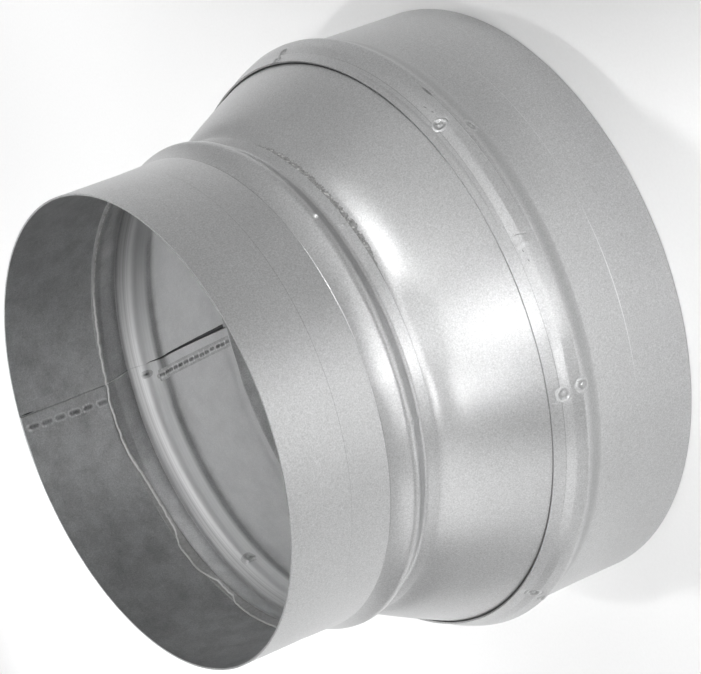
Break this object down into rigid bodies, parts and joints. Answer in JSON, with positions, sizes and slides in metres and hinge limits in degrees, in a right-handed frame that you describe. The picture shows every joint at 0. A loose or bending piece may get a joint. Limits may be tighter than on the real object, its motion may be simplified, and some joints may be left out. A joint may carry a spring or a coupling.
{
  "type": "duct reducer",
  "caption": "Round sheet-steel duct reducer: a cone joins a small spigot to a large one, with rolled bead joints sealed by mastic and lapped lengthwise seams.",
  "frame": {"origin": "centre of the large rim, on the duct's axis", "axes": "+Z along the duct's axis from the large end to the small end, +Y towards the lengthwise lap seams"},
  "size_m": [0.2032, 0.2032, 0.143],
  "materials": {
    "galvanised_sheet": "satin",
    "mastic": "matte"
  },
  "bodies": {
    "root": {"small_collar": "galvanised_sheet", "cone": "galvanised_sheet", "large_collar": "galvanised_sheet", "small_joint_sealant": "mastic", "large_joint_sealant": "mastic"}
  },
  "joints": []
}
